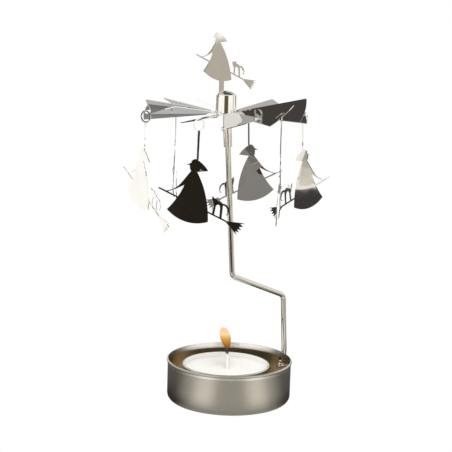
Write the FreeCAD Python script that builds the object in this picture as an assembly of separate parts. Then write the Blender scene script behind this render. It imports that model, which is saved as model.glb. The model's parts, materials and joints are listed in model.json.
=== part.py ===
import FreeCAD, Part
import math
import os
from FreeCAD import Placement, Rotation, Vector

# Tealight carousel: a cup, a bent wire with a needle on top, a rotor of twelve blades that turns on the
# needle, six flat figures that hang from the rotor, a seventh on its hub, and a tealight in the cup.
# Millimetres. The origin is the centre of the cup's bottom face, +Z up, -Y towards the viewer.
# An azimuth is counted in degrees from -Y towards +X, a height from the cup's bottom face.

# Cuts and fits
CUT_OVERRUN = 1.0
PUSH_GAP = 0.02          # radial gap where a piece is crimped or pushed into another
SLIT_GAP = 0.08          # room all round a tab, strip or hook in its slit
BEARING_GAP = 0.04       # gap between the needle's point and the dimple that rides on it

# Base cup, drawn from sheet
CUP_WALL_R = 26.85
CUP_H = 17.8
CUP_SHEET = 0.5
CUP_CORNER_R = 2.5
CUP_BEAD_PROUD = 0.4
CUP_BEAD_H = 1.3
CUP_LIP_H = 2.4
CUP_LIP_FLARE = 0.3

# Bent wire: a foot hooked through the cup wall, a post, a slope to the middle and a mast
ROD_D = 2.3
ROD_GAP = 0.05           # the wire clears the cup's bead and its strap by this much
POST_AZIMUTH = 121.0
HOOK_Z = 11.0
HOOK_REACH = 1.3         # how far the foot reaches inside the wall
HOOK_BEND_R = 1.6
POST_PLUMB = 2.2         # the post stays plumb to this height above the rim
POST_INSET = 1.45        # and has leaned in by this much at its upper corner
POST_BEND_R = 20.0
UPPER_CORNER_Z = 43.6
UPPER_BEND_R = 3.0
MAST_FOOT_X = 0.15
MAST_FOOT_Z = 54.4
MAST_BEND_R = 3.0
ROD_TOP_Z = 121.0

# Strap lanced out of the cup wall round the post, and the slot that the foot goes through
STRAP_Z = 13.2
STRAP_H = 2.1
HOOK_SLOT_RISE = 0.3     # extra height above the foot, to hook it in

# Needle, and the sleeve that is crimped round it and the wire's top
NEEDLE_TIP_X = -4.6
NEEDLE_TIP_Z = 132.9
NEEDLE_FOOT_GAP = 0.2
NEEDLE_SHANK_PROUD = 1.0
NEEDLE_POINT_R = 0.12
SLEEVE_D = 3.5
SLEEVE_BOTTOM_Z = 110.1
SLEEVE_TOP_Z = 127.0
PIN_Z = 117.8
PIN_AZIMUTH = -60.0
PIN_D = 1.0
PIN_HEAD_D = 1.7
PIN_HEAD_H = 1.1

# Rotor sheet: hub disc and twelve twisted blades
SHEET = 0.3
ROTOR_Z = 124.4          # middle of the sheet
ROTOR_R = 34.6
HUB_R = 5.6
HUB_HOLE_R = 3.2
NECK_HALF_W = 1.2
NECK_START_R = 5.9
NECK_END_R = 8.2
BLADE_COUNT = 12
BLADE_SLIT = 4.0         # degrees between two blades
FIRST_BLADE_AZIMUTH = -17.6
BLADE_TWISTS = [11.0, 16.6, 31.0, 36.0, 30.0, 30.0, 15.0, 30.0, 24.0, 30.0, 28.0, 14.0]
BLADE_LIFT = 2.5         # the blade that is bent up most lifts its outer end by this much
BLADE_LIFT_SHARES = [-0.468, -0.96, 0.398, 1.0, 0.1, 0.4, -0.245, 0.0, 0.628, 0.2, 0.015, 0.68]

# Slot near the outer edge of every second blade
SLOT_L = 3.8
SLOT_W = 2.2
BRIDGE_W = 0.45

# Hub cap: a thimble with three tabs folded under the sheet
CAP_TOP_R = 4.25
CAP_BOTTOM_R = 4.45
CAP_WALL = 0.35
CAP_SIDE_TOP_Z = 132.1
CAP_APEX_Z = 133.8
CAP_EDGE_R = 0.6
TAB_COUNT = 3
TAB_W = 2.2
TAB_END_R = 5.5
FIRST_TAB_AZIMUTH = 20.0

# Bearing seat: a small block with a dimple, inside the cap's dome
SEAT_R = 1.4
SEAT_H = 1.9
DIMPLE_HALF_ANGLE = 40.0

# Figures: flat plates, drawn in shares of the drop from the ring's centre to the top of the brush
FIGURE_DROP = 40.0
PLATE = 0.4
RING_D = 5.1
RING_BAND = 0.5
RING_GAP = 0.5
RING_GAP_ANGLE = 42.0    # from straight down, towards the figure's back
STEM_W = 0.85
STICK_W = 0.6

# Each entry is the next corner, or a point on the way and the corner at which an arc ends.
HEAD_SHARES = [
    [(-0.069, 0.4625)], [(-0.080, 0.440)], [(-0.085, 0.400)], [(-0.119, 0.396)], [(-0.076, 0.380)],
    [(-0.055, 0.353), (-0.019, 0.341)], [(0.056, 0.385), (0.135, 0.4625)], [(0.0025, 0.470)]]
BODY_SHARES = [
    [(-0.069, 0.4625)], [(-0.1625, 0.5625)], [(-0.245, 0.6225), (-0.3475, 0.646)], [(-0.340, 0.656)],
    [(-0.2275, 0.6275), (-0.1425, 0.594)], [(-0.220, 0.7225), (-0.329, 0.8325)],
    [(-0.090, 0.9675), (0.1625, 0.976)], [(0.110, 0.6825), (0.0025, 0.470)]]
CAT_SHARES = [
    [(0.2075, 0.900)], [(0.2225, 0.815)], [(0.206, 0.755)], [(0.205, 0.715)], [(0.2275, 0.7375)],
    [(0.2525, 0.7375)], [(0.274, 0.728)], [(0.2725, 0.7625)], [(0.320, 0.780), (0.3375, 0.825)],
    [(0.3275, 0.953)], [(0.3025, 0.942)], [(0.3025, 0.845)], [(0.2775, 0.803), (0.2475, 0.835)],
    [(0.2325, 0.910)]]
TAIL_SHARES = [
    [(0.3275, 0.795)], [(0.394, 0.8175), (0.399, 0.915)], [(0.384, 0.9175)],
    [(0.3775, 0.830), (0.330, 0.815)]]
STICK_END_SHARES = [(-0.440, 0.616), (0.385, 0.976)]
HEAD_TOP_SHARE = 0.350
HEM_SHARE = 0.985

# Broom brush: a fan of ragged teeth
BRUSH_ROOT_SHARES = (0.373, 0.971)
BRUSH_TEETH = 5
BRUSH_TOP_ANGLE = 8.2
BRUSH_BOTTOM_ANGLE = 43.5
BRUSH_TOP_SHARE = 0.258
BRUSH_BOTTOM_SHARE = 0.215
BRUSH_NOTCH_SHARE = 0.80

# Hanging figures, by azimuth from the first blade: the yaw of the plate, the yaw of its ring on the
# blade, and where the ring's centre lies: in from the blade's outer edge, along the edge and below the
# sheet, each as a share of the ring's diameter.
FIGURE_YAWS = [36.0, 90.0, 124.0, 146.0, 90.0, -57.0]
RING_TURNS = [-42.0, -42.0, -44.3, 50.0, -42.0, -45.2]
RING_PLACE_SHARES = [
    (0.109, 0.072, 0.325), (0.168, -0.034, 0.368), (0.158, 0.016, 0.337),
    (0.007, 0.062, 0.315), (0.162, -0.140, 0.406), (0.160, -0.106, 0.405)]

# Finial figure, smaller, pushed into a slit in the cap
FINIAL_SIZE_SHARE = 0.78
FINIAL_YAW = 44.0
FINIAL_LEAN = 2.6
FINIAL_TILT = 5.0
FINIAL_HEM_Z = 137.7
FINIAL_OFFSET = 2.4      # the hem's middle stands this far to the left of the rotor's axis
STRIP_INNER = 1.6        # the strip's edges, left of the rotor's axis
STRIP_OUTER = 4.1
STRIP_SHOULDER = 0.35
STRIP_LAP = 1.0          # the strip runs this far into the plate above the hem
NOTCH_Z = 131.2
STRIP_TONGUE = 1.7       # the strip's tongue reaches this far below the notch

# Tealight
TEALIGHT_X = -1.4
TEALIGHT_R = 19.0
TEALIGHT_H = 15.0
TEALIGHT_SHEET = 0.3
TEALIGHT_RIM = 0.4       # the rim stands proud of the wall by this much
TEALIGHT_RIM_H = 0.8
TEALIGHT_CORNER_R = 0.8
WAX_BELOW_RIM = 2.0
POOL_R = 15.5
POOL_DEPTH = 0.5
WICK_OFFSET = 0.5
WICK_D = 1.3
WICK_FREE = 11.2
WICK_BEND_RISE = 6.4
WICK_LEAN = 12.0
WICK_BEND_R = 2.5
SUSTAINER_R = 6.2
SUSTAINER_SHEET = 0.25
SUSTAINER_NECK_H = 3.2
SUSTAINER_NECK_WALL = 0.3

ROD_R = ROD_D / 2
POST_R = CUP_WALL_R + CUP_BEAD_PROUD + ROD_GAP + ROD_R
SLEEVE_R = SLEEVE_D / 2
SHEET_TOP_Z = ROTOR_Z + SHEET / 2
SHEET_BOTTOM_Z = ROTOR_Z - SHEET / 2
RING_OUTER_R = RING_D / 2
RING_INNER_R = RING_OUTER_R - RING_BAND
BLADE_STEP = 360.0 / BLADE_COUNT
BLADE_HALF_ANGLE = (BLADE_STEP - BLADE_SLIT) / 2
ROTOR_AXIS = Vector(NEEDLE_TIP_X, 0, 0)
UP = Vector(0, 0, 1)


def around(azimuth, radius, height, centre=Vector(0, 0, 0)):
    """Point at an azimuth, a radius and a height about a vertical axis."""
    angle = math.radians(azimuth)
    return centre + Vector(radius * math.sin(angle), -radius * math.cos(angle), height)


def turned(shape, azimuth, centre=Vector(0, 0, 0)):
    """Turns what is drawn along +X to an azimuth, and moves it to a vertical axis."""
    placed = shape.copy()
    placed.Placement = Placement(centre, Rotation(UP, azimuth - 90)).multiply(placed.Placement)
    return placed


def joined(shapes):
    """Fuses shapes into one solid and removes the seams between them."""
    whole = shapes[0]
    for shape in shapes[1:]:
        whole = whole.fuse(shape)
    whole = whole.removeSplitter()
    if len(whole.Solids) == 1:
        return whole.Solids[0]
    return whole


def disc(centre, direction, radius):
    """Round face."""
    return Part.Face(Part.Wire(Part.makeCircle(radius, centre, direction)))


def revolved(corners):
    """Solid of revolution about Z. An entry is a corner (r, z), or a point on an arc and its end."""
    path = [[Vector(r, 0, z) for r, z in entry] for entry in corners]
    return closed_face(path).revolve(Vector(0, 0, 0), UP, 360)


def closed_face(path):
    """Face whose outline runs through the entries of a path, as lines and three-point arcs."""
    edges = []
    here = path[0][-1]
    for entry in path[1:] + path[:1]:
        if len(entry) == 2:
            edges.append(Part.Arc(here, entry[0], entry[1]).toShape())
        else:
            edges.append(Part.makeLine(here, entry[0]))
        here = entry[-1]
    return Part.Face(Part.Wire(edges))


def bent_rod(corners, bends, radius):
    """Round rod through corners, with a bend radius for each inner corner."""
    pieces = []
    start = corners[0]
    for corner, after, bend in zip(corners[1:-1], corners[2:], bends):
        into = (corner - start).normalize()
        out = (after - corner).normalize()
        turn = into.getAngle(out)
        trim = bend * math.tan(turn / 2)
        bend_start = corner - into * trim
        axis = into.cross(out).normalize()
        centre = bend_start + axis.cross(into) * bend
        pieces.append(disc(start, into, radius).extrude(bend_start - start))
        pieces.append(disc(bend_start, into, radius).revolve(centre, axis, math.degrees(turn)))
        start = corner + out * trim
    last_run = corners[-1] - start
    pieces.append(disc(start, last_run, radius).extrude(last_run))
    return joined(pieces)


def mast_point(height):
    """Point on the line from the mast's foot to the needle's tip."""
    share = (height - MAST_FOOT_Z) / (NEEDLE_TIP_Z - MAST_FOOT_Z)
    x = MAST_FOOT_X + share * (NEEDLE_TIP_X - MAST_FOOT_X)
    return Vector(x, 0, height)


def along_mast(low, high, radius):
    """Round bar on the mast's axis between two heights."""
    run = mast_point(high) - mast_point(low)
    return disc(mast_point(low), run, radius).extrude(run)


def bar(x_low, x_high, half_width, z_low, z_high):
    """Straight block along +X."""
    size = (x_high - x_low, 2 * half_width, z_high - z_low)
    return Part.makeBox(size[0], size[1], size[2], Vector(x_low, -half_width, z_low))


def base_cup():
    """Drawn cup with a rolled bead, a strap round the post and a slot for the wire's foot."""
    inner_r = CUP_WALL_R - CUP_SHEET
    floor_r = CUP_WALL_R - CUP_CORNER_R
    inner_corner_r = CUP_CORNER_R - CUP_SHEET
    diagonal = 1 - math.sqrt(0.5)
    bead_z = CUP_H - CUP_BEAD_H
    cup = revolved([
        [(0, 0)], [(floor_r, 0)],
        [(CUP_WALL_R - CUP_CORNER_R * diagonal, CUP_CORNER_R * diagonal), (CUP_WALL_R, CUP_CORNER_R)],
        [(CUP_WALL_R, bead_z)],
        [(CUP_WALL_R + CUP_BEAD_PROUD, CUP_H - CUP_BEAD_H / 2), (CUP_WALL_R, CUP_H)],
        [(inner_r + CUP_LIP_FLARE, CUP_H)], [(inner_r, CUP_H - CUP_LIP_H)], [(inner_r, CUP_CORNER_R)],
        [(inner_r - inner_corner_r * diagonal, CUP_SHEET + inner_corner_r * diagonal),
         (floor_r, CUP_SHEET)],
        [(0, CUP_SHEET)]])
    bore_r = ROD_R + ROD_GAP
    strap_r = bore_r + CUP_SHEET
    bore = bar(inner_r - CUT_OVERRUN, POST_R, bore_r, STRAP_Z, STRAP_Z + STRAP_H).fuse(
        disc(Vector(POST_R, 0, STRAP_Z), UP, bore_r).extrude(UP * STRAP_H))
    strap = bar(inner_r, POST_R, strap_r, STRAP_Z, STRAP_Z + STRAP_H).fuse(
        disc(Vector(POST_R, 0, STRAP_Z), UP, strap_r).extrude(UP * STRAP_H))
    hook_r = ROD_R + SLIT_GAP
    slot = bar(inner_r - CUT_OVERRUN, CUP_WALL_R + CUT_OVERRUN, hook_r,
               HOOK_Z - hook_r, HOOK_Z + hook_r + HOOK_SLOT_RISE)
    strapped = cup.fuse(turned(strap, POST_AZIMUTH)).cut(turned(bore, POST_AZIMUTH))
    return strapped.cut(turned(slot, POST_AZIMUTH)).removeSplitter()


def pin_bar(start, end, radius):
    """Round bar across the mast at the pin's height, between two distances from its axis."""
    mast = (mast_point(NEEDLE_TIP_Z) - mast_point(MAST_FOOT_Z)).normalize()
    level = around(PIN_AZIMUTH, 1, 0)
    across = (level - mast * level.dot(mast)).normalize()
    centre = mast_point(PIN_Z)
    return disc(centre + across * start, across, radius).extrude(across * (end - start))


def pin_hole():
    """Hole through sleeve and wire for the pin's shank."""
    reach = SLEEVE_R + CUT_OVERRUN
    return pin_bar(-reach, reach, PIN_D / 2 + PUSH_GAP)


def stand_rod():
    """One bent wire from the foot inside the cup to the top of the mast."""
    tip = around(POST_AZIMUTH, CUP_WALL_R - CUP_SHEET - HOOK_REACH, HOOK_Z)
    corners = [
        tip,
        around(POST_AZIMUTH, POST_R, HOOK_Z),
        around(POST_AZIMUTH, POST_R, CUP_H + POST_PLUMB),
        around(POST_AZIMUTH, POST_R - POST_INSET, UPPER_CORNER_Z),
        mast_point(MAST_FOOT_Z),
        mast_point(ROD_TOP_Z)]
    bends = [HOOK_BEND_R, POST_BEND_R, UPPER_BEND_R, MAST_BEND_R]
    return bent_rod(corners, bends, ROD_R).cut(pin_hole())


def mast_sleeve():
    """Tube crimped over the wire's top and the needle's shank."""
    outside = along_mast(SLEEVE_BOTTOM_Z, SLEEVE_TOP_Z, SLEEVE_R)
    bore = along_mast(SLEEVE_BOTTOM_Z - CUT_OVERRUN, SLEEVE_TOP_Z + CUT_OVERRUN, ROD_R + PUSH_GAP)
    return outside.cut(bore).cut(pin_hole())


def sleeve_pin():
    """Small rivet through sleeve and wire."""
    shank = pin_bar(-SLEEVE_R, SLEEVE_R, PIN_D / 2)
    head = pin_bar(SLEEVE_R, SLEEVE_R + PIN_HEAD_H, PIN_HEAD_D / 2)
    return joined([shank, head])


def pivot_needle():
    """Needle in the sleeve's upper half, with the rotor's bearing point on top."""
    foot = mast_point(ROD_TOP_Z + NEEDLE_FOOT_GAP)
    run = mast_point(NEEDLE_TIP_Z) - foot
    length = run.Length
    taper = length - (mast_point(NEEDLE_TIP_Z) - mast_point(SLEEVE_TOP_Z + NEEDLE_SHANK_PROUD)).Length
    needle = revolved([
        [(0, 0)], [(ROD_R, 0)], [(ROD_R, taper)], [(NEEDLE_POINT_R, length - NEEDLE_POINT_R)],
        [(NEEDLE_POINT_R * math.sqrt(0.5), length - NEEDLE_POINT_R * (1 - math.sqrt(0.5))), (0, length)]])
    needle.Placement = Placement(foot, Rotation(UP, run))
    return needle


def blade_place(blade, share=1.0):
    """Twist and lift of a blade, or of a share of the way along its neck."""
    twist = Rotation(Vector(1, 0, 0), BLADE_TWISTS[blade] * share)
    lift = BLADE_LIFT * BLADE_LIFT_SHARES[blade]
    pitch = math.degrees(math.asin(lift / (ROTOR_R - NECK_START_R)))
    root = Vector(NECK_START_R, 0, 0)
    bend = Placement(Vector(0, 0, 0), Rotation(Vector(0, -1, 0), pitch * share), root)
    return bend.multiply(Placement(Vector(0, 0, 0), twist))


def blade_azimuth(blade):
    """Azimuth of a blade's middle line."""
    return FIRST_BLADE_AZIMUTH + blade * BLADE_STEP


def rotor_blade(blade):
    """One blade along +X: a flat tongue, a twisted neck and a flat sector plate."""
    half = math.radians(BLADE_HALF_ANGLE)
    root_half_w = NECK_END_R * math.tan(half)
    edge = [Vector(ROTOR_R * math.cos(half), side * ROTOR_R * math.sin(half), 0) for side in (-1, 1)]
    outline = [
        [Vector(NECK_END_R, -root_half_w, 0)], [edge[0]], [Vector(ROTOR_R, 0, 0), edge[1]],
        [Vector(NECK_END_R, root_half_w, 0)]]
    plate = closed_face(outline).extrude(UP * SHEET)
    plate.translate(UP * -SHEET / 2)
    if blade % 2 == 0:
        slot_end = ROTOR_R - BRIDGE_W
        plate = plate.cut(bar(slot_end - SLOT_W, slot_end, SLOT_L / 2, -SHEET, SHEET))
    plate.Placement = blade_place(blade)
    sections = []
    for share in (0, 0.5, 1):
        x = NECK_START_R + share * (NECK_END_R - NECK_START_R)
        half_w = NECK_HALF_W + share * (root_half_w - NECK_HALF_W)
        corners = [Vector(x, side * half_w, level * SHEET / 2)
                   for side, level in ((-1, -1), (1, -1), (1, 1), (-1, 1), (-1, -1))]
        section = Part.makePolygon([blade_place(blade, share).multVec(corner) for corner in corners])
        sections.append(section)
    neck = Part.makeLoft(sections, True, True)
    tongue = bar(HUB_HOLE_R + CUT_OVERRUN, NECK_START_R, NECK_HALF_W, -SHEET / 2, SHEET / 2)
    return turned(joined([tongue, neck, plate]), blade_azimuth(blade), ROTOR_AXIS + UP * ROTOR_Z)


def tab_bars(inner_r, outer_r, half_width, low, high):
    """Straight blocks at the azimuths of the cap's tabs."""
    block = bar(inner_r, outer_r, half_width, low, high)
    azimuths = [FIRST_TAB_AZIMUTH + tab * 360.0 / TAB_COUNT for tab in range(TAB_COUNT)]
    return joined([turned(block, azimuth) for azimuth in azimuths])


def tab_walls(gap, low, high):
    """Pieces of the cap's round wall as wide as its tabs, with room all round them."""
    inner_r = CAP_BOTTOM_R - CAP_WALL - gap
    outer_r = CAP_BOTTOM_R + gap
    wall = disc(Vector(0, 0, low), UP, outer_r).cut(disc(Vector(0, 0, low), UP, inner_r))
    blocks = tab_bars(inner_r - CUT_OVERRUN, outer_r + CUT_OVERRUN, TAB_W / 2 + gap, low, high)
    return wall.extrude(UP * (high - low)).common(blocks)


def rotor_wheel():
    """Stamped disc: hub, twelve blades and the slits for the cap's tabs."""
    hub = disc(ROTOR_AXIS + UP * SHEET_BOTTOM_Z, UP, HUB_R).extrude(UP * SHEET)
    wheel = joined([hub] + [rotor_blade(blade) for blade in range(BLADE_COUNT)])
    hole_start = ROTOR_AXIS + UP * (SHEET_BOTTOM_Z - CUT_OVERRUN)
    wheel = wheel.cut(disc(hole_start, UP, HUB_HOLE_R).extrude(UP * (SHEET + 2 * CUT_OVERRUN)))
    slits = tab_walls(SLIT_GAP, SHEET_BOTTOM_Z - CUT_OVERRUN, SHEET_TOP_Z + CUT_OVERRUN)
    slits.translate(ROTOR_AXIS)
    return wheel.cut(slits)


def cap_body(inset):
    """Solid thimble, or with an inset the space inside its wall."""
    apex_z = CAP_APEX_Z - inset
    side_z = CAP_SIDE_TOP_Z - inset
    top_r = CAP_TOP_R - inset
    dome_r = (top_r ** 2 + (apex_z - side_z) ** 2) / (2 * (apex_z - side_z))
    way_r = top_r / 2
    way_z = apex_z - dome_r + math.sqrt(dome_r ** 2 - way_r ** 2)
    body = revolved([
        [(0, SHEET_TOP_Z)], [(CAP_BOTTOM_R - inset, SHEET_TOP_Z)], [(top_r, side_z)],
        [(way_r, way_z), (0, apex_z)]])
    rim = [edge for edge in body.Edges
           if abs(edge.CenterOfMass.z - side_z) < PUSH_GAP and len(edge.Vertexes) == 1]
    return body.makeFillet(CAP_EDGE_R - inset, rim)


def strip_block(inner, outer, half_thickness, low, high):
    """Upright block in the finial's plane, between two distances left of the rotor's axis."""
    block = bar(-outer, -inner, half_thickness, low, high)
    block.Placement = Placement(ROTOR_AXIS, Rotation(UP, FINIAL_YAW))
    return block


def hub_cap():
    """Domed thimble with a notch for the finial and tabs folded under the rotor sheet."""
    shell = cap_body(0).cut(cap_body(CAP_WALL))
    foot_z = SHEET_BOTTOM_Z - CAP_WALL
    tabs = tab_walls(0, foot_z, SHEET_TOP_Z)
    feet = tab_bars(CAP_BOTTOM_R - CAP_WALL / 2, TAB_END_R, TAB_W / 2, foot_z, SHEET_BOTTOM_Z)
    cap = joined([shell, tabs, feet])
    cap.translate(ROTOR_AXIS)
    notch = strip_block(STRIP_INNER - SLIT_GAP, CAP_BOTTOM_R + CUT_OVERRUN, PLATE / 2 + SLIT_GAP,
                        NOTCH_Z, CAP_APEX_Z + CUT_OVERRUN)
    return cap.cut(notch)


def bearing_cup():
    """Seat under the dome, with a conical dimple that rides on the needle's point."""
    low = CAP_APEX_Z - CAP_WALL - SEAT_H
    block = disc(Vector(0, 0, low), UP, SEAT_R).extrude(UP * (SEAT_H + CAP_WALL))
    dome = cap_body(CAP_WALL + PUSH_GAP)
    half_angle = math.radians(DIMPLE_HALF_ANGLE)
    dimple_z = NEEDLE_TIP_Z + NEEDLE_POINT_R * (1 / math.sin(half_angle) - 1) + BEARING_GAP
    mouth_z = low - CUT_OVERRUN
    mouth_r = (dimple_z - mouth_z) * math.tan(half_angle)
    dimple = Part.makeCone(mouth_r, 0, dimple_z - mouth_z, Vector(0, 0, mouth_z))
    seat = block.common(dome).cut(dimple)
    seat.translate(ROTOR_AXIS)
    return seat


def share_point(shares, size):
    """Point of an outline in the XZ plane: shares to the right and down."""
    return Vector(shares[0] * size, 0, -shares[1] * size)


def share_face(outline, size):
    """Face with an outline given in shares."""
    return closed_face([[share_point(point, size) for point in entry] for entry in outline])


def strip_face(start, end, width):
    """Straight strip in the XZ plane."""
    run = (end - start).normalize()
    side = Vector(-run.z, 0, run.x) * (width / 2)
    return closed_face([[start + side], [end + side], [end - side], [start - side]])


def brush_face(size):
    """Fan of ragged teeth, from the broom's binding outwards."""
    root = share_point(BRUSH_ROOT_SHARES, size)
    path = [[root]]
    steps = 2 * (BRUSH_TEETH - 1)
    for step in range(steps + 1):
        share = step / steps
        angle = math.radians(BRUSH_TOP_ANGLE + share * (BRUSH_BOTTOM_ANGLE - BRUSH_TOP_ANGLE))
        reach = size * (BRUSH_TOP_SHARE + share * (BRUSH_BOTTOM_SHARE - BRUSH_TOP_SHARE))
        if step % 2 == 1:
            reach = reach * BRUSH_NOTCH_SHARE
        path.append([root + Vector(reach * math.cos(angle), 0, -reach * math.sin(angle))])
    return closed_face(path)


def figure_faces(size):
    """Silhouette of the broom rider with a cat behind, as faces in the XZ plane."""
    ends = [share_point(end, size) for end in STICK_END_SHARES]
    faces = [share_face(outline, size) for outline in (BODY_SHARES, HEAD_SHARES, CAT_SHARES, TAIL_SHARES)]
    faces.append(strip_face(ends[0], ends[1], STICK_W * size / FIGURE_DROP))
    faces.append(brush_face(size))
    return faces


def thick_plate(faces):
    """Plate of even thickness, centred on the plane of its faces."""
    plate = joined([face.extrude(Vector(0, PLATE, 0)) for face in faces])
    plate.translate(Vector(0, -PLATE / 2, 0))
    return plate


def ring_piece():
    """Split ring in the XZ plane, about the origin."""
    across = Vector(0, 1, 0)
    band = disc(Vector(0, 0, 0), across, RING_OUTER_R).cut(disc(Vector(0, 0, 0), across, RING_INNER_R))
    angle = math.radians(RING_GAP_ANGLE)
    end = Vector(math.sin(angle), 0, -math.cos(angle)) * (RING_OUTER_R + CUT_OVERRUN)
    return thick_plate([band.cut(strip_face(Vector(0, 0, 0), end, RING_GAP)).Faces[0]])


def figure_blade(figure):
    """The blade that a hanging figure is hooked into: every second one."""
    return 2 * figure


def on_blade(figure, outward, sideways, height):
    """Point near a figure's blade, from the rotor's axis outwards, along the edge and up."""
    blade = figure_blade(figure)
    lift = BLADE_LIFT * BLADE_LIFT_SHARES[blade]
    angle = math.radians(blade_azimuth(blade))
    along = Vector(math.cos(angle), math.sin(angle), 0)
    return around(blade_azimuth(blade), outward, ROTOR_Z + lift + height, ROTOR_AXIS) + along * sideways


def ring_centre(figure):
    """Centre of a hanging figure's ring."""
    inset, side, drop = [share * RING_D for share in RING_PLACE_SHARES[figure]]
    return on_blade(figure, ROTOR_R - inset, side, -drop)


def swing_pivot(figure):
    """Point on the bridge between slot and edge, on which the ring's top swings."""
    inset, side, drop = [share * RING_D for share in RING_PLACE_SHARES[figure]]
    return on_blade(figure, ROTOR_R - BRIDGE_W / 2, side, RING_INNER_R - drop)


def balance_lean(figure, plate):
    """Angle by which the plate turns in its plane so that it balances under its pivot."""
    mass = plate.CenterOfMass
    offset = ROTOR_R - BRIDGE_W / 2 - (ring_centre(figure) - ROTOR_AXIS - UP * ring_centre(figure).z).Length
    across = math.sin(math.radians(blade_azimuth(figure_blade(figure)) - FIGURE_YAWS[figure]))
    reach = math.hypot(mass.x, mass.z)
    now = math.atan2(mass.x, -mass.z)
    wanted = math.asin(offset / across / reach)
    return math.degrees(now - wanted)


def hanging_figure(figure):
    """One plate hooked into its blade: ring, stem and silhouette."""
    stem_top = Vector(0, 0, -(RING_INNER_R + RING_OUTER_R) / 2)
    stem = strip_face(stem_top, Vector(0, 0, -HEAD_TOP_SHARE * FIGURE_DROP), STEM_W)
    plate = thick_plate(figure_faces(FIGURE_DROP) + [stem])
    lean = balance_lean(figure, plate)
    plate.rotate(Vector(0, 0, 0), Vector(0, 1, 0), lean)
    plate.rotate(Vector(0, 0, 0), UP, FIGURE_YAWS[figure])
    ring = ring_piece()
    ring.rotate(Vector(0, 0, 0), UP, blade_azimuth(figure_blade(figure)) - 90 + RING_TURNS[figure])
    if figure_faces_back(figure):
        ring.rotate(Vector(0, 0, 0), UP, 180)
    whole = joined([plate, ring])
    whole.translate(ring_centre(figure))
    return whole


def figure_faces_back(figure):
    """Whether the ring's yaw has to be turned half round to match the plate's front."""
    ring_yaw = blade_azimuth(figure_blade(figure)) - 90 + RING_TURNS[figure]
    return math.cos(math.radians(ring_yaw - FIGURE_YAWS[figure])) < 0


def finial_figure():
    """Smaller figure whose strip stands in the cap's notch, with a tongue inside the wall."""
    size = FIGURE_DROP * FINIAL_SIZE_SHARE
    plate = thick_plate(figure_faces(size))
    plate.translate(UP * HEM_SHARE * size)
    plate.rotate(Vector(0, 0, 0), Vector(0, 1, 0), -FINIAL_LEAN)
    plate.rotate(Vector(0, 0, 0), Vector(1, 0, 0), -FINIAL_TILT)
    plate.translate(Vector(-FINIAL_OFFSET, 0, FINIAL_HEM_Z))
    plate.Placement = Placement(ROTOR_AXIS, Rotation(UP, FINIAL_YAW)).multiply(plate.Placement)
    strip = strip_block(STRIP_INNER, STRIP_OUTER, PLATE / 2, NOTCH_Z + PUSH_GAP,
                        FINIAL_HEM_Z + STRIP_LAP)
    tongue = strip_block(STRIP_INNER + STRIP_SHOULDER, STRIP_OUTER - STRIP_SHOULDER - PUSH_GAP, PLATE / 2,
                         NOTCH_Z - STRIP_TONGUE, NOTCH_Z + STRIP_SHOULDER)
    return joined([plate, strip, tongue])


def tealight_centre(height=0, sideways=0):
    """Point on the tealight's axis, from the cup's floor up."""
    return Vector(TEALIGHT_X + sideways, 0, CUP_SHEET + height)


def tealight_cup():
    """Thin drawn cup with a small rim."""
    wall_r = TEALIGHT_R - TEALIGHT_RIM
    inner_r = wall_r - TEALIGHT_SHEET
    corner = TEALIGHT_CORNER_R * (1 - math.sqrt(0.5))
    cup = revolved([
        [(0, 0)], [(wall_r - TEALIGHT_CORNER_R, 0)],
        [(wall_r - corner, corner), (wall_r, TEALIGHT_CORNER_R)],
        [(wall_r, TEALIGHT_H - TEALIGHT_RIM_H)],
        [(TEALIGHT_R, TEALIGHT_H - TEALIGHT_RIM_H / 2), (wall_r, TEALIGHT_H)],
        [(inner_r, TEALIGHT_H)], [(inner_r, TEALIGHT_CORNER_R)],
        [(inner_r - TEALIGHT_SHEET, TEALIGHT_SHEET)], [(0, TEALIGHT_SHEET)]])
    cup.translate(tealight_centre())
    return cup


def tealight_wax():
    """Wax body with a burnt-in pool, hollowed for the sustainer and the wick."""
    inner_r = TEALIGHT_R - TEALIGHT_RIM - TEALIGHT_SHEET - PUSH_GAP
    foot_r = inner_r - TEALIGHT_CORNER_R
    top_z = TEALIGHT_H - WAX_BELOW_RIM
    half_pool = POOL_R / 2
    wax = revolved([
        [(0, TEALIGHT_SHEET)], [(foot_r, TEALIGHT_SHEET)], [(inner_r, TEALIGHT_CORNER_R)],
        [(inner_r, top_z)], [(POOL_R, top_z)], [(half_pool, top_z - POOL_DEPTH * 3 / 4), (0, top_z - POOL_DEPTH)]])
    hole_r = SUSTAINER_R + PUSH_GAP
    neck_r = WICK_D / 2 + SUSTAINER_NECK_WALL + 2 * PUSH_GAP
    neck_top = TEALIGHT_SHEET + SUSTAINER_NECK_H + PUSH_GAP
    disc_room = disc(Vector(WICK_OFFSET, 0, 0), UP, hole_r).extrude(
        UP * (TEALIGHT_SHEET + SUSTAINER_SHEET + PUSH_GAP))
    neck_room = disc(Vector(WICK_OFFSET, 0, 0), UP, neck_r).extrude(UP * neck_top)
    wick_room = disc(Vector(WICK_OFFSET, 0, 0), UP, WICK_D / 2 + PUSH_GAP).extrude(UP * TEALIGHT_H)
    wax = wax.cut(joined([disc_room, neck_room, wick_room]))
    wax.translate(tealight_centre())
    return wax


def wick_sustainer():
    """Small disc with a neck that holds the wick upright."""
    bore_r = WICK_D / 2 + PUSH_GAP
    neck_r = bore_r + SUSTAINER_NECK_WALL
    sustainer = revolved([
        [(bore_r, 0)], [(SUSTAINER_R, 0)], [(SUSTAINER_R, SUSTAINER_SHEET)], [(neck_r, SUSTAINER_SHEET)],
        [(neck_r, SUSTAINER_NECK_H)], [(bore_r, SUSTAINER_NECK_H)]])
    sustainer.translate(tealight_centre(TEALIGHT_SHEET, WICK_OFFSET))
    return sustainer


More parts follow.
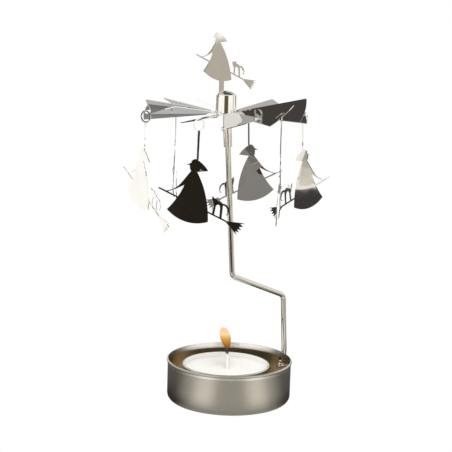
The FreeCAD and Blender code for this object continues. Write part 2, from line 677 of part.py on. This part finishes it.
def tealight_wick():
    """Wick from the cup's floor through neck and wax, with a bent free end."""
    wax_top = TEALIGHT_H - WAX_BELOW_RIM - POOL_DEPTH
    bend = tealight_centre(wax_top + WICK_BEND_RISE, WICK_OFFSET)
    lean = math.radians(WICK_LEAN)
    end = bend + Vector(-math.sin(lean), 0, math.cos(lean)) * (WICK_FREE - WICK_BEND_RISE)
    return bent_rod([tealight_centre(TEALIGHT_SHEET, WICK_OFFSET), bend, end], [WICK_BEND_R], WICK_D / 2)


def nodes():
    """Every piece by its node's name."""
    pieces = {
        "base_cup": base_cup(),
        "stand_rod": stand_rod(),
        "mast_sleeve": mast_sleeve(),
        "sleeve_pin": sleeve_pin(),
        "pivot_needle": pivot_needle(),
        "hub_cap": hub_cap(),
        "bearing_cup": bearing_cup(),
        "rotor_wheel": rotor_wheel(),
        "finial_figure": finial_figure(),
        "tealight_cup": tealight_cup(),
        "tealight_wax": tealight_wax(),
        "wick_sustainer": wick_sustainer(),
        "tealight_wick": tealight_wick()}
    for figure in range(len(FIGURE_YAWS)):
        pieces["hanging_figure_%d" % (figure + 1)] = hanging_figure(figure)
    return pieces


def main():
    os.makedirs("parts", exist_ok=True)
    for name, shape in nodes().items():
        shape.exportStep("parts/%s.step" % name)
        print("%-18s solids %d  valid %s  volume %9.2f" % (name, len(shape.Solids), shape.isValid(), shape.Volume))
    for figure in range(len(FIGURE_YAWS)):
        pivot = swing_pivot(figure)
        print("swing pivot %d: %.4f %.4f %.4f  azimuth %.2f" % (
            figure + 1, pivot.x, pivot.y, pivot.z, blade_azimuth(figure_blade(figure))))


main()
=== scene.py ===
import json
import math
import bpy
import numpy as np
from mathutils import Matrix, Vector


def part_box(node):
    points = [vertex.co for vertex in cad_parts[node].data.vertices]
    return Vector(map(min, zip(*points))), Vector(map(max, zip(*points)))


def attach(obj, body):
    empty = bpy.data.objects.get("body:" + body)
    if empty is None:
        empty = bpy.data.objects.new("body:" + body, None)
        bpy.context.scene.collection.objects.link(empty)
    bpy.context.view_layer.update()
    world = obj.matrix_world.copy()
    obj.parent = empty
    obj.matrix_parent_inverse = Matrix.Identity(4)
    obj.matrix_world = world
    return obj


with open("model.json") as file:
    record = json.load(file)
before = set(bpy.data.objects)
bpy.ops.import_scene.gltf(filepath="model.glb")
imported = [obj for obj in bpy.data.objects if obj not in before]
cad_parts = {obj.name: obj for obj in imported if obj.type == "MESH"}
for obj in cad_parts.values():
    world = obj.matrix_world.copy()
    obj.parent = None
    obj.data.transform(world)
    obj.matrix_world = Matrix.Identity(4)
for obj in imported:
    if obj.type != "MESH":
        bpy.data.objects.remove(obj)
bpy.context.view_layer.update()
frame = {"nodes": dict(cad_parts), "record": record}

# Tealight carousel in polished sheet metal

# Metres, in the frame's own coordinates: the origin is the centre of the cup's bottom face, +Z is up and
# the viewer is on the -Y side
MM = 0.001

# Camera, as the photograph was taken. The sensor is in millimetres, as Blender has it
CAMERA_PLACE = Vector((0, -480.2 * MM, 153.7 * MM))
CAMERA_YAW = math.radians(-0.371)
CAMERA_PITCH = math.radians(9.173)
CAMERA_ROLL = math.radians(1.632)
FOCAL_PIXELS = 1136.0
PICTURE_PIXELS = 452
SENSOR_WIDTH = 36.0

# Values that several materials share
NOISE_SPAN = (0.3, 0.7)
RISE = (0, 1)
FALL = (1, 0)
EVEN = (1, 1, 1)
WHITE = (1, 1, 1, 1)

# Below, a pattern is its cells to the metre, its detail and, unless it has a point of its own, its scale
# along X, Y and Z. Tones are shares of the colour, and a bump is its strength and its height

# Polished sheet
SHEET_COLOUR = (0.86, 0.845, 0.81, 1)
SHEET_TONES = (1, 0.95)
SHEET_ROUGHNESS = (0.015, 0.04)
SHEET_HAZE = (90, 3, EVEN)
SHEET_MARKS = (2600, 2, (1, 1, 0.12))
SHEET_MARK_ROUGHNESS = (0, 0.012)
SHEET_WAVES = (130, 1, EVEN)
SHEET_BUMP = (0.2, 0.08 * MM)

# Drawn wire
WIRE_COLOUR = (0.80, 0.75, 0.66, 1)
WIRE_TONES = (1, 0.90)
WIRE_ROUGHNESS = (0.06, 0.13)
WIRE_HAZE = (160, 3, EVEN)
WIRE_LINES = (5200, 2, (1, 1, 0.02))
WIRE_BUMP = (0.12, 0.01 * MM)

# Brushed cup: depths go in and down from the sides and top of its box, and heights up from its foot
CUP_COLOUR = (0.56, 0.515, 0.43, 1)
CUP_TONES = (1.02, 0.96)
CUP_ROUGHNESS = (0.26, 0.29)
CUP_LINES = (7000, 3)
CUP_BUMP = (0.018, 0.02 * MM)
CUP_DRIFT = (60, 1, EVEN)
CUP_DRIFT_ROUGHNESS = (-0.03, 0.03)
CUP_DRIFT_SHIFT = 0.4 * MM
CUP_INSIDE_COLOUR = (0.82, 0.72, 0.54, 1)
CUP_INSIDE_ROUGHNESS = 0.22
CUP_INSIDE_DEPTH = (0.8 * MM, 0.55 * MM)
# Near-white band round the top of the inside wall: a painted reflection of the white studio, brighter than
# the same steel below it
CUP_LIP_PAINTED_REFLECTION = (0.97, 0.955, 0.92, 1)
CUP_LIP_DEPTH = (2.6 * MM, 2.0 * MM)
CUP_LIP_FLARE = 0.3 * MM
CUP_CORNER_HEIGHT = (1.6 * MM, 2.0 * MM)

# Ground steel
STEEL_COLOUR = (0.66, 0.65, 0.64, 1)
STEEL_TONES = (1, 0.8)
STEEL_ROUGHNESS = (0.18, 0.30)
STEEL_MARKS = (3000, 3, (1, 1, 5))

# Tealight foil
FOIL_COLOUR = (0.94, 0.925, 0.89, 1)
FOIL_TONES = (1, 0.98)
FOIL_ROUGHNESS = (0.19, 0.25)
FOIL_MARKS = (2400, 3, (1, 1, 0.05))
FOIL_DENTS = (220, 1, EVEN)
FOIL_BUMP = (0.2, 0.1 * MM)

# Wax and its pool, whose edge is a distance from the wax's axis
WAX_COLOUR = (0.93, 0.91, 0.865, 1)
WAX_POOL_COLOUR = (0.94, 0.915, 0.865, 1)
WAX_ROUGHNESS = (0.42, 0.28)
WAX_POOL_EDGE = (10.5 * MM, 13.0 * MM)
WAX_EDGE_PATTERN = (180, 3)
WAX_EDGE_SHIFT = (-0.5 * MM, 0.5 * MM)
WAX_RINGS = (420, 2)
WAX_GRAIN = (900, 3)
WAX_GRAIN_SHARE = 0.2
WAX_BUMP = (0.5, 0.25 * MM)
WAX_SUBSURFACE = 0.5
WAX_SUBSURFACE_RADIUS = (3.0, 2.4, 1.6)
WAX_SUBSURFACE_SCALE = 1.0 * MM

# Wick, with its char measured down from the tip
WICK_COLOUR = (0.80, 0.77, 0.71, 1)
WICK_ROUGHNESS = 0.85
WICK_FIBRES = (2600, 3, (1, 1, 0.4))
WICK_BUMP = (0.6, 0.15 * MM)
CHAR_COLOUR = (0.035, 0.025, 0.02, 1)
CHAR_LENGTH = (4.9 * MM, 4.1 * MM)
CHAR_EDGE_SHIFT = (-0.4 * MM, 0.4 * MM)

# Flame, placed from the top of the wick and its side towards -X. Stops are colours at shares of the height
FLAME_FOOT_X = 1.5 * MM
FLAME_FOOT_DROP = 2.7 * MM
FLAME_ROWS = 56
FLAME_COLUMNS = 40
FLAME_FOOT_POWER = 0.75
FLAME_TIP_POWER = 0.5
FLAME_SWAY_POWER = 1.3
FLAME_CLEARNESS = 0.07
FLAME_SHELLS = {
    "flame_outer": {
        "lift": 0.0, "height": 10.0 * MM, "width": 4.6 * MM, "sway": -2.0 * MM,
        "stops": ((0.02, (0.16, 0.07, 0.018, 1)), (0.16, (0.22, 0.10, 0.02, 1)),
                  (0.35, (0.49, 0.205, 0.03, 1)), (0.55, (0.70, 0.36, 0.065, 1)),
                  (0.74, (0.98, 0.73, 0.40, 1)), (0.92, (0.965, 0.65, 0.35, 1)))},
    "flame_core": {
        "lift": 0.3 * MM, "height": 6.2 * MM, "width": 2.8 * MM, "sway": -0.9 * MM,
        "stops": ((0.0, (0.12, 0.05, 0.015, 1)), (0.4, (0.50, 0.20, 0.03, 1)), (1.0, (0.98, 0.70, 0.36, 1)))}}

# Studio that the metal mirrors, in degrees: azimuth 0 is at the viewer and grows towards +X
HALF_TURN = 180
OPEN_COLOUR = (1.16, 1.15, 1.12, 1)
HIGH_COLOUR = (0.74, 0.735, 0.725, 1)
HIGH_ELEVATION = (4, 42)

# Cards in the sky: azimuth, elevation, half width, half height, soft edge and colour
CARDS = {
    "ceiling": (-152, 51, 25, 22, 4, (0.062, 0.056, 0.054, 1)),
    "roof": (0, 90, 181, 16, 4, (0.12, 0.11, 0.10, 1)),
    "screen_right": (148, -5, 23, 9, 5, (0.34, 0.33, 0.315, 1)),
    "screen_front": (38, -12, 17, 5, 3, (0.55, 0.54, 0.52, 1)),
    "gallery_right": (120, 68, 58, 20, 4, (0.07, 0.065, 0.06, 1)),
    "backdrop": (176, 20, 14, 7, 2, (0.42, 0.41, 0.40, 1)),
    "skylight": (156, 45, 9, 10, 2, (0.52, 0.51, 0.50, 1)),
    "wall_left": (-120, 1, 27, 3.5, 2, (0.34, 0.335, 0.31, 1)),
    "corner_left": (-146, -12, 22, 8, 1, (0.06, 0.052, 0.042, 1)),
    "window_left": (-67, -9, 4.6, 3.2, 0.5, (0.25, 0.24, 0.235, 1)),
    "lintel_left": (-67, -4, 4.6, 1.6, 0.5, (0.12, 0.115, 0.11, 1)),
    "doorway_left": (-105, -12, 7, 4.8, 0.4, (0.048, 0.044, 0.042, 1)),
    "viewer": (5, 2, 21, 6, 3, (0.13, 0.105, 0.065, 1)),
    "viewer_low": (-17, -13.6, 46, 6, 0.4, (0.05, 0.04, 0.028, 1)),
    "corner_right": (150, -13, 22, 6, 1, (0.28, 0.27, 0.25, 1)),
    "window_right": (64, -7, 3.9, 4.5, 0.4, (0.31, 0.30, 0.29, 1)),
    "drape_right": (76, -9, 7.8, 7, 0.4, (0.020, 0.016, 0.012, 1)),
    "panel_right": (92, 1.4, 7.2, 5.8, 0.5, (0.51, 0.475, 0.40, 1))}

# Floor: a grey is how bright it shines on the metal, and azimuths count both ways from GLINT_TURN
FLOOR_CENTRE_Y = 120 * MM
FLOOR_RADIUS = 340 * MM
FLOOR_CORNERS = 96
FLOOR_GREY = 0.50
NEAR_FLOOR_RADIUS = (85 * MM, 125 * MM)
SHADE_AZIMUTH = (62, 88)
SHADE_GREY = 0.10
GLINT_TURN = 3
GLINT_AZIMUTH = 38
GLINT_HALF_WIDTH = (7, 22)
GLINT_GREY = 1.05
# Painted contact shadow: close round the cup the floor glows dimmer, darkest at the sides
CONTACT_RADIUS = (34 * MM, 46 * MM)
CONTACT_AZIMUTH = (35, 70)
CONTACT_SHADOW_GREY = (0.42, 0.04)

# Lamp
LAMP_PLACE = Vector((60 * MM, -420 * MM, 620 * MM))
LAMP_SIZE = 420 * MM
LAMP_POWER = 4.6


def feed(tree, socket, value):
    """Joins a socket to another one, or sets it to a number or a colour."""
    if isinstance(value, bpy.types.NodeSocket):
        tree.links.new(value, socket)
    else:
        socket.default_value = value


def object_point(tree, scale=EVEN, shift=(0, 0, 0)):
    """The surface point in object coordinates, scaled along each axis and then moved."""
    place = tree.nodes.new("ShaderNodeTexCoord")
    mapping = tree.nodes.new("ShaderNodeMapping")
    mapping.inputs["Scale"].default_value = scale
    mapping.inputs["Location"].default_value = shift
    tree.links.new(place.outputs["Object"], mapping.inputs["Vector"])
    return mapping.outputs["Vector"]


def split_point(tree, point):
    """X, Y and Z of a point."""
    split = tree.nodes.new("ShaderNodeSeparateXYZ")
    tree.links.new(point, split.inputs["Vector"])
    return split.outputs["X"], split.outputs["Y"], split.outputs["Z"]


def joined_point(tree, *values):
    """Point with the given X, Y and Z, which are 0 where left out."""
    point = tree.nodes.new("ShaderNodeCombineXYZ")
    for socket, value in zip(point.inputs, values):
        feed(tree, socket, value)
    return point.outputs["Vector"]


def maths(tree, operation, *values):
    """One arithmetic step on sockets or numbers."""
    node = tree.nodes.new("ShaderNodeMath")
    node.operation = operation
    for socket, value in zip(node.inputs, values):
        feed(tree, socket, value)
    return node.outputs["Value"]


def radius_of(tree, x, y):
    """Distance from the Z axis: the root of x squared plus y squared."""
    across = maths(tree, "MULTIPLY", x, x)
    along = maths(tree, "MULTIPLY", y, y)
    return maths(tree, "SQRT", maths(tree, "ADD", across, along))


def azimuth_of(tree, x, y):
    """Azimuth in degrees from the viewer's side, growing towards +X."""
    return maths(tree, "DEGREES", maths(tree, "ARCTAN2", x, maths(tree, "MULTIPLY", y, -1)))


def noise(tree, point, cells, detail):
    """Soft random value at a point, with so many cells to the metre."""
    node = tree.nodes.new("ShaderNodeTexNoise")
    node.inputs["Scale"].default_value = cells
    node.inputs["Detail"].default_value = detail
    tree.links.new(point, node.inputs["Vector"])
    return node.outputs["Fac"]


def surface_noise(tree, cells, detail, scale):
    """Soft random value over the surface, drawn out along an axis whose scale is under 1."""
    return noise(tree, object_point(tree, scale), cells, detail)


def spread(tree, value, results, span=NOISE_SPAN):
    """Goes from the first result to the second as the value crosses the span, and no further."""
    node = tree.nodes.new("ShaderNodeMapRange")
    for name, bound in zip(("From Min", "From Max", "To Min", "To Max"), (*span, *results)):
        feed(tree, node.inputs[name], bound)
    tree.links.new(value, node.inputs["Value"])
    return node.outputs["Result"]


def mixed(tree, share, first, second):
    """Colour between two colours."""
    node = tree.nodes.new("ShaderNodeMix")
    node.data_type = "RGBA"
    tree.links.new(share, node.inputs["Factor"])
    for name, colour in (("A", first), ("B", second)):
        feed(tree, next(s for s in node.inputs if s.name == name and s.type == "RGBA"), colour)
    return next(s for s in node.outputs if s.type == "RGBA")


def toned(tree, pattern, colour, tones):
    """Colour that goes from its first tone to its second with a pattern."""
    first, second = (tuple(min(1, value * tone) for value in colour[:3]) + (1,) for tone in tones)
    return mixed(tree, spread(tree, pattern, RISE), first, second)


def new_material(name, metallic=1):
    """Material with a principled shader: returns the material, its node tree and the shader."""
    material = bpy.data.materials.new(name)
    material.use_nodes = True
    shader = material.node_tree.nodes["Principled BSDF"]
    shader.inputs["Metallic"].default_value = metallic
    return material, material.node_tree, shader


def glowing_material(name):
    """Material with no shader yet: returns the material, its node tree and the output's surface socket."""
    material = bpy.data.materials.new(name)
    material.use_nodes = True
    material.node_tree.nodes.clear()
    output = material.node_tree.nodes.new("ShaderNodeOutputMaterial")
    return material, material.node_tree, output.inputs["Surface"]


def coated(tree, shader, colour, roughness):
    """Gives the shader its colour and its roughness."""
    feed(tree, shader.inputs["Base Color"], colour)
    feed(tree, shader.inputs["Roughness"], roughness)


def bumped(tree, shader, pattern, strength, height):
    """Raises and lowers the shader's surface with a pattern, by a height in metres."""
    node = tree.nodes.new("ShaderNodeBump")
    node.inputs["Strength"].default_value = strength
    node.inputs["Distance"].default_value = height
    tree.links.new(pattern, node.inputs["Height"])
    tree.links.new(node.outputs["Normal"], shader.inputs["Normal"])


def polished_sheet():
    """Polished plated sheet: soft waves of thin metal, faint haze and a few fine wiping marks."""
    material, tree, shader = new_material("polished_sheet")
    haze = surface_noise(tree, *SHEET_HAZE)
    marks = surface_noise(tree, *SHEET_MARKS)
    hazy = spread(tree, haze, SHEET_ROUGHNESS)
    roughness = maths(tree, "ADD", hazy, spread(tree, marks, SHEET_MARK_ROUGHNESS))
    coated(tree, shader, toned(tree, haze, SHEET_COLOUR, SHEET_TONES), roughness)
    bumped(tree, shader, surface_noise(tree, *SHEET_WAVES), *SHEET_BUMP)
    return material


def drawn_wire():
    """Bright wire with fine lines along its length from drawing."""
    material, tree, shader = new_material("drawn_wire")
    haze = surface_noise(tree, *WIRE_HAZE)
    lines = surface_noise(tree, *WIRE_LINES)
    coated(tree, shader, toned(tree, haze, WIRE_COLOUR, WIRE_TONES), spread(tree, lines, WIRE_ROUGHNESS))
    bumped(tree, shader, lines, *WIRE_BUMP)
    return material


def brushed_cup():
    """Satin drawn cup: brush lines that run round it, with slow changes in tone, a brighter inside and a
    painted reflection, a near-white band round the top of the inside wall.
    """
    material, tree, shader = new_material("brushed_cup")
    low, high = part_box("base_cup")
    x, y, z = split_point(tree, object_point(tree))
    radius = radius_of(tree, x, y)
    drift = surface_noise(tree, *CUP_DRIFT)
    line_point = joined_point(tree, radius, z, maths(tree, "MULTIPLY", drift, CUP_DRIFT_SHIFT))
    lines = noise(tree, line_point, *CUP_LINES)
    lip_reflection_band = spread(tree, z, RISE, [high.z - depth for depth in CUP_LIP_DEPTH])
    wall_radius = maths(tree, "SUBTRACT", radius, maths(tree, "MULTIPLY", lip_reflection_band, CUP_LIP_FLARE))
    within = spread(tree, wall_radius, FALL, [high.x - depth for depth in CUP_INSIDE_DEPTH])
    above_corner = spread(tree, z, RISE, [low.z + height for height in CUP_CORNER_HEIGHT])
    inside = maths(tree, "MULTIPLY", within, above_corner)
    # Painted reflection: the top band of the inside wall is near white
    inside_and_lip_reflection = mixed(tree, lip_reflection_band, CUP_INSIDE_COLOUR, CUP_LIP_PAINTED_REFLECTION)
    colour = mixed(tree, inside, toned(tree, lines, CUP_COLOUR, CUP_TONES), inside_and_lip_reflection)
    brushed = spread(tree, lines, CUP_ROUGHNESS)
    outer_roughness = maths(tree, "ADD", brushed, spread(tree, drift, CUP_DRIFT_ROUGHNESS))
    coated(tree, shader, colour, spread(tree, inside, (outer_roughness, CUP_INSIDE_ROUGHNESS), RISE))
    bumped(tree, shader, lines, *CUP_BUMP)
    return material


def ground_steel():
    """Small steel pieces with fine grinding marks."""
    material, tree, shader = new_material("ground_steel")
    marks = surface_noise(tree, *STEEL_MARKS)
    coated(tree, shader, toned(tree, marks, STEEL_COLOUR, STEEL_TONES), spread(tree, marks, STEEL_ROUGHNESS))
    return material


def tealight_foil():
    """Thin aluminium: bright, a little dented, with fine vertical drawing marks."""
    material, tree, shader = new_material("tealight_foil")
    marks = surface_noise(tree, *FOIL_MARKS)
    coated(tree, shader, toned(tree, marks, FOIL_COLOUR, FOIL_TONES), spread(tree, marks, FOIL_ROUGHNESS))
    bumped(tree, shader, surface_noise(tree, *FOIL_DENTS), *FOIL_BUMP)
    return material


def paraffin():
    """White wax that lets light in, with soft rings and a smoother pool round the wick."""
    material, tree, shader = new_material("paraffin", metallic=0)
    low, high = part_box("tealight_wax")
    point = object_point(tree, shift=(-(low.x + high.x) / 2, 0, 0))
    radius = radius_of(tree, *split_point(tree, point)[:2])
    edge = maths(tree, "ADD", radius, spread(tree, noise(tree, point, *WAX_EDGE_PATTERN), WAX_EDGE_SHIFT))
    pool = spread(tree, edge, FALL, WAX_POOL_EDGE)
    colour = mixed(tree, pool, WAX_COLOUR, WAX_POOL_COLOUR)
    coated(tree, shader, colour, spread(tree, pool, WAX_ROUGHNESS, RISE))
    shader.inputs["Subsurface Weight"].default_value = WAX_SUBSURFACE
    shader.inputs["Subsurface Radius"].default_value = WAX_SUBSURFACE_RADIUS
    shader.inputs["Subsurface Scale"].default_value = WAX_SUBSURFACE_SCALE
    rings = noise(tree, joined_point(tree, edge), *WAX_RINGS)
    grain = maths(tree, "MULTIPLY", noise(tree, point, *WAX_GRAIN), WAX_GRAIN_SHARE)
    bumped(tree, shader, maths(tree, "ADD", grain, rings), *WAX_BUMP)
    return material


def charred_cotton():
    """Braided wick: pale where the wax soaks it, burnt black above."""
    material, tree, shader = new_material("charred_cotton", metallic=0)
    tip_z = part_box("tealight_wick")[1].z
    z = split_point(tree, object_point(tree))[2]
    fibres = surface_noise(tree, *WICK_FIBRES)
    level = maths(tree, "ADD", z, spread(tree, fibres, CHAR_EDGE_SHIFT))
    burnt = spread(tree, level, RISE, [tip_z - length for length in CHAR_LENGTH])
    coated(tree, shader, mixed(tree, burnt, WICK_COLOUR, CHAR_COLOUR), WICK_ROUGHNESS)
    bumped(tree, shader, fibres, *WICK_BUMP)
    return material


def flame_gas(name, foot_z, height, stops):
    """Glowing gas, a little clear: its colour changes from the foot to the tip."""
    material, tree, surface = glowing_material(name)
    ramp = tree.nodes.new("ShaderNodeValToRGB")
    z = split_point(tree, object_point(tree))[2]
    feed(tree, ramp.inputs["Fac"], spread(tree, z, RISE, (foot_z, foot_z + height)))
    steps = ramp.color_ramp.elements
    for share, colour in stops[1:-1]:
        steps.new(share).color = colour
    for step, (share, colour) in ((steps[0], stops[0]), (steps[-1], stops[-1])):
        step.position = share
        step.color = colour
    glow = tree.nodes.new("ShaderNodeEmission")
    tree.links.new(ramp.outputs["Color"], glow.inputs["Color"])
    clear = tree.nodes.new("ShaderNodeBsdfTransparent")
    mix = tree.nodes.new("ShaderNodeMixShader")
    mix.inputs["Fac"].default_value = FLAME_CLEARNESS
    tree.links.new(glow.outputs["Emission"], mix.inputs[1])
    tree.links.new(clear.outputs["BSDF"], mix.inputs[2])
    tree.links.new(mix.outputs["Shader"], surface)
    return material


def add_object(name, data):
    """New object in the scene."""
    item = bpy.data.objects.new(name, data)
    bpy.context.scene.collection.objects.link(item)
    return item


def add_mesh(name, points, faces, material):
    """New mesh object of one material."""
    mesh = bpy.data.meshes.new(name)
    mesh.from_pydata(points.tolist(), [], faces)
    mesh.materials.append(material)
    return add_object(name, mesh)


def closed_shell(name, points, foot, tip, material):
    """Smooth closed mesh from a grid of points: rows go up along the first axis and close round the second,
    and a fan of triangles joins the lowest row to the foot and the highest row to the tip."""
    rows, columns = points.shape[:2]
    index = np.arange(rows * columns).reshape(rows, columns)
    after = np.roll(index, -1, axis=1)
    quads = np.stack([index[:-1], after[:-1], after[1:], index[1:]], axis=-1).reshape(-1, 4)
    foot_index = np.full(columns, rows * columns)
    below = np.stack([after[0], index[0], foot_index], axis=-1)
    above = np.stack([index[-1], after[-1], foot_index + 1], axis=-1)
    places = np.concatenate([points.reshape(-1, 3), [foot, tip]])
    piece = add_mesh(name, places, quads.tolist() + below.tolist() + above.tolist(), material)
    piece.data.polygons.foreach_set("use_smooth", np.ones(len(piece.data.polygons), bool))
    return piece


def flame_shell(name, foot, height, width, sway, material):
    """Ovoid flame about a leaning axis. At a share of the height, its half width is the share to the foot
    power times what is left of 1 to the tip power, scaled so that the flame is as wide as given, and its
    axis is off to the side by the sway times the share to the sway power."""
    share = np.linspace(0, 1, FLAME_ROWS)[1:-1, None]
    half = share ** FLAME_FOOT_POWER * (1 - share) ** FLAME_TIP_POWER
    half = width / 2 * half / half.max()
    angle = np.linspace(0, 2 * np.pi, FLAME_COLUMNS, endpoint=False)
    x = foot[0] + sway * share ** FLAME_SWAY_POWER + half * np.cos(angle)
    y = foot[1] + half * np.sin(angle)
    z = foot[2] + height * share + 0 * angle
    tip = (foot[0] + sway, foot[1], foot[2] + height)
    return closed_shell(name, np.stack([x, y, z], axis=-1), foot, tip, material)


def add_flame():
    """Flame round the wick's tip: a pale outer shell and an orange core."""
    low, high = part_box("tealight_wick")
    for name, shell in FLAME_SHELLS.items():
        foot = (low.x + FLAME_FOOT_X, 0, high.z - FLAME_FOOT_DROP + shell["lift"])
        gas = flame_gas(name, foot[2], shell["height"], shell["stops"])
        piece = flame_shell(name, foot, shell["height"], shell["width"], shell["sway"], gas)
        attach(piece, "tealight")


def dress_nodes():
    """Gives every node of the frame its finish."""
    finishes = {
        "bright_sheet": polished_sheet(),
        "rod_wire": drawn_wire(),
        "cup_steel": brushed_cup(),
        "needle_steel": ground_steel(),
        "sustainer_steel": ground_steel(),
        "tealight_aluminium": tealight_foil(),
        "wax": paraffin(),
        "wick_cotton": charred_cotton()}
    for entry in frame["record"]["subparts"]:
        piece = frame["nodes"][entry["node"]]
        piece.data.materials.clear()
        piece.data.materials.append(finishes[entry["material_slot"]])


def add_camera():
    """Camera with the place, turn and lens that the photograph shows."""
    forward = Vector((math.sin(CAMERA_YAW) * math.cos(CAMERA_PITCH),
                      math.cos(CAMERA_YAW) * math.cos(CAMERA_PITCH), -math.sin(CAMERA_PITCH)))
    level = Vector((math.cos(CAMERA_YAW), -math.sin(CAMERA_YAW), 0))
    upright = level.cross(forward)
    right = level * math.cos(CAMERA_ROLL) + upright * math.sin(CAMERA_ROLL)
    top = -level * math.sin(CAMERA_ROLL) + upright * math.cos(CAMERA_ROLL)
    data = bpy.data.cameras.new("camera")
    data.sensor_width = SENSOR_WIDTH
    data.lens = FOCAL_PIXELS / PICTURE_PIXELS * SENSOR_WIDTH
    camera = add_object("camera", data)
    camera.matrix_world = Matrix((
        (right.x, top.x, -forward.x, CAMERA_PLACE.x),
        (right.y, top.y, -forward.y, CAMERA_PLACE.y),
        (right.z, top.z, -forward.z, CAMERA_PLACE.z),
        (0, 0, 0, 1)))
    bpy.context.scene.camera = camera


def angle_mask(tree, angle, centre, half_width, edge):
    """1 within a stretch of an angle in degrees and 0 outside it, with a soft edge, round the full turn."""
    apart = maths(tree, "WRAP", maths(tree, "SUBTRACT", angle, centre), HALF_TURN, -HALF_TURN)
    return spread(tree, maths(tree, "ABSOLUTE", apart), FALL, (half_width, half_width + edge))


def seen_by_camera(tree):
    """1 for what the camera sees for itself and 0 for what the object mirrors or is lit by."""
    return tree.nodes.new("ShaderNodeLightPath").outputs["Is Camera Ray"]


def add_sky():
    """White studio with a few cards and dark openings."""
    world = bpy.data.worlds.new("studio")
    bpy.context.scene.world = world
    world.use_nodes = True
    tree = world.node_tree
    direction = tree.nodes.new("ShaderNodeTexCoord")
    x, y, z = split_point(tree, direction.outputs["Generated"])
    azimuth = azimuth_of(tree, x, y)
    elevation = maths(tree, "DEGREES", maths(tree, "ARCSINE", z))
    colour = mixed(tree, spread(tree, elevation, RISE, HIGH_ELEVATION), OPEN_COLOUR, HIGH_COLOUR)
    for centre, height, half_width, half_height, edge, card_colour in CARDS.values():
        across = angle_mask(tree, azimuth, centre, half_width, edge)
        up = angle_mask(tree, elevation, height, half_height, edge)
        colour = mixed(tree, maths(tree, "MULTIPLY", across, up), colour, card_colour)
    shown = mixed(tree, seen_by_camera(tree), colour, WHITE)
    tree.links.new(shown, tree.nodes["Background"].inputs["Color"])


def pale_floor():
    """White to the viewer; as a light source it is mid grey, with a glint and a shade beside the cup, and a
    painted contact shadow close round its foot.
    """
    material, tree, surface = glowing_material("pale_floor")
    x, y = split_point(tree, object_point(tree))[:2]
    radius = radius_of(tree, x, y)
    side = maths(tree, "ABSOLUTE", maths(tree, "SUBTRACT", azimuth_of(tree, x, y), GLINT_TURN))
    off_glint = maths(tree, "ABSOLUTE", maths(tree, "SUBTRACT", side, GLINT_AZIMUTH))
    glint = spread(tree, off_glint, (GLINT_GREY, FLOOR_GREY), GLINT_HALF_WIDTH)
    beside = spread(tree, side, (glint, SHADE_GREY), SHADE_AZIMUTH)
    # Painted contact shadow close round the cup's foot
    contact_shadow = spread(tree, side, CONTACT_SHADOW_GREY, CONTACT_AZIMUTH)
    near = spread(tree, radius, (contact_shadow, beside), CONTACT_RADIUS)
    grey = spread(tree, radius, (near, FLOOR_GREY), NEAR_FLOOR_RADIUS)
    glow = tree.nodes.new("ShaderNodeEmission")
    feed(tree, glow.inputs["Strength"], spread(tree, seen_by_camera(tree), (grey, 1), RISE))
    tree.links.new(glow.outputs["Emission"], surface)
    return material


def add_floor():
    """Round table top under the cup: a flat face whose corners lie at even angles on a circle."""
    angle = np.linspace(0, 2 * np.pi, FLOOR_CORNERS, endpoint=False)
    x = FLOOR_RADIUS * np.cos(angle)
    y = FLOOR_CENTRE_Y + FLOOR_RADIUS * np.sin(angle)
    rim = np.stack([x, y, 0 * angle], axis=-1)
    floor = add_mesh("floor", rim, [list(range(FLOOR_CORNERS))], pale_floor())


def add_lamp():
    """Soft lamp high in front, for the wax; the polished metal doesn't mirror it."""
    data = bpy.data.lights.new("lamp", "AREA")
    data.size = LAMP_SIZE
    data.energy = LAMP_POWER
    lamp = add_object("lamp", data)
    lamp.location = LAMP_PLACE
    lamp.rotation_euler = (-LAMP_PLACE).to_track_quat("-Z", "Y").to_euler()
    lamp.visible_glossy = False


add_camera()
dress_nodes()
add_flame()
add_sky()
add_floor()
add_lamp()
bpy.context.scene.view_settings.view_transform = "Standard"
